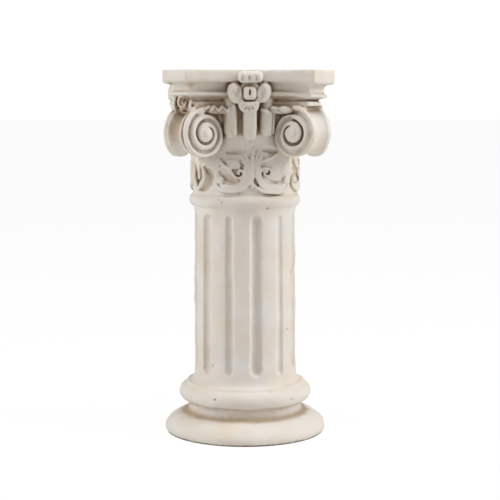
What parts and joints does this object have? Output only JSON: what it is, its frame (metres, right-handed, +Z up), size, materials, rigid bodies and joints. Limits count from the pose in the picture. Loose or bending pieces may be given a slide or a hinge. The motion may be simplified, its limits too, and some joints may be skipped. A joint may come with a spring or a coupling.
{
  "type": "wedding pillar",
  "caption": "Cast display column with a round base, fluted shaft, scrolled capital and flat square top, stands on the ground and carries a vase or a statue",
  "frame": {"origin": "on the ground at the column's axis, under the middle of the base", "axes": "+Z is up along the shaft, and -Y is the side seen in the picture, with a flower in the middle of it"},
  "size_m": [0.182, 0.182, 0.4],
  "materials": {
    "cast_stone": "matt ivory casting with a tan wash left in the recesses"
  },
  "bodies": {
    "root": {"pillar": "cast_stone"}
  },
  "joints": []
}
